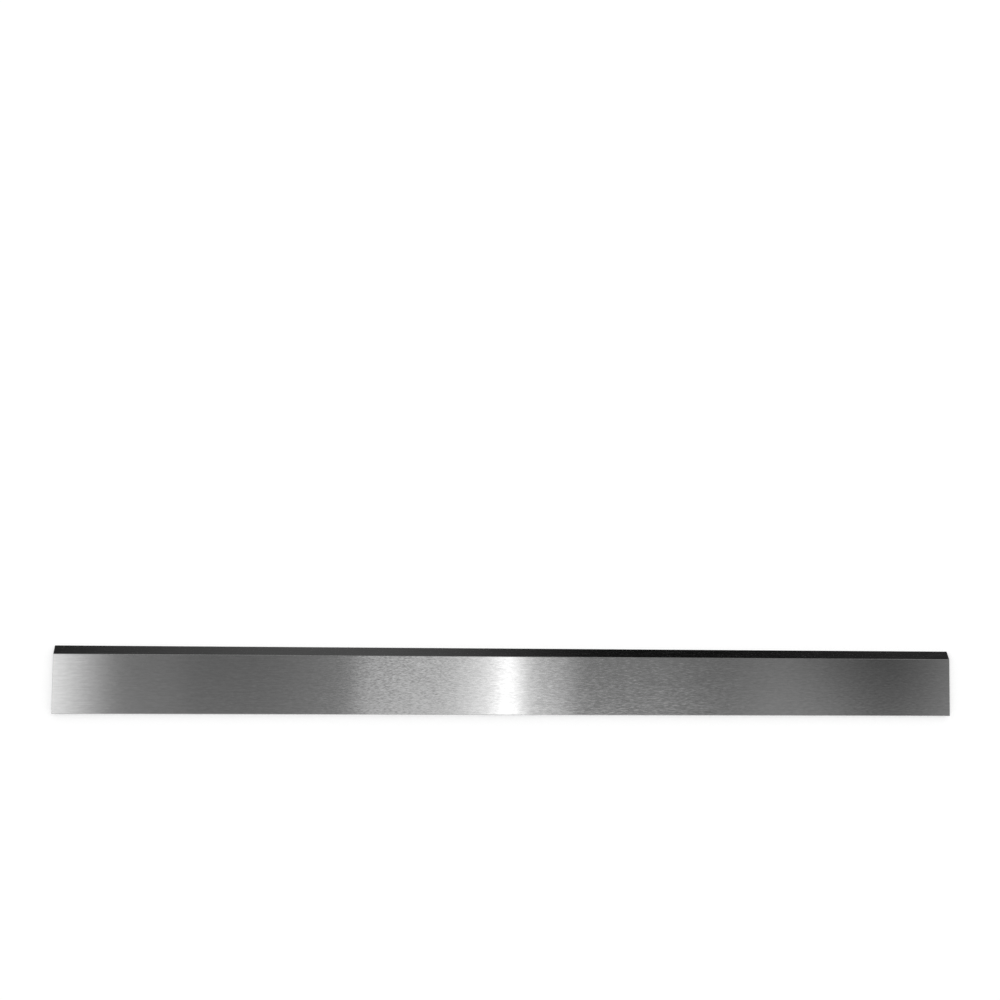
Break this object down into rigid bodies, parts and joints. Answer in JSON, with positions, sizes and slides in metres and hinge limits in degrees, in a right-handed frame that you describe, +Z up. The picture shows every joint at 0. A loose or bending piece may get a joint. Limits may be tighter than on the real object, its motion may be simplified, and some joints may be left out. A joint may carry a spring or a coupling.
{
  "type": "planer knife",
  "caption": "Long flat steel planer knife, straight from end to end, with a single ground bevel to a keen cutting edge.",
  "frame": {"origin": "middle of the full-width seating face that the knife lies on", "axes": "+X along the knife, +Y across it from the back edge towards the cutting edge, +Z up through its thickness from the seating face to the clamping face that the bevel cuts into"},
  "size_m": [0.41, 0.03, 0.003],
  "materials": {
    "ground_steel": "finely ground along its length, bright and slightly streaked, uncoated"
  },
  "bodies": {
    "root": {"knife": "ground_steel"}
  },
  "joints": []
}
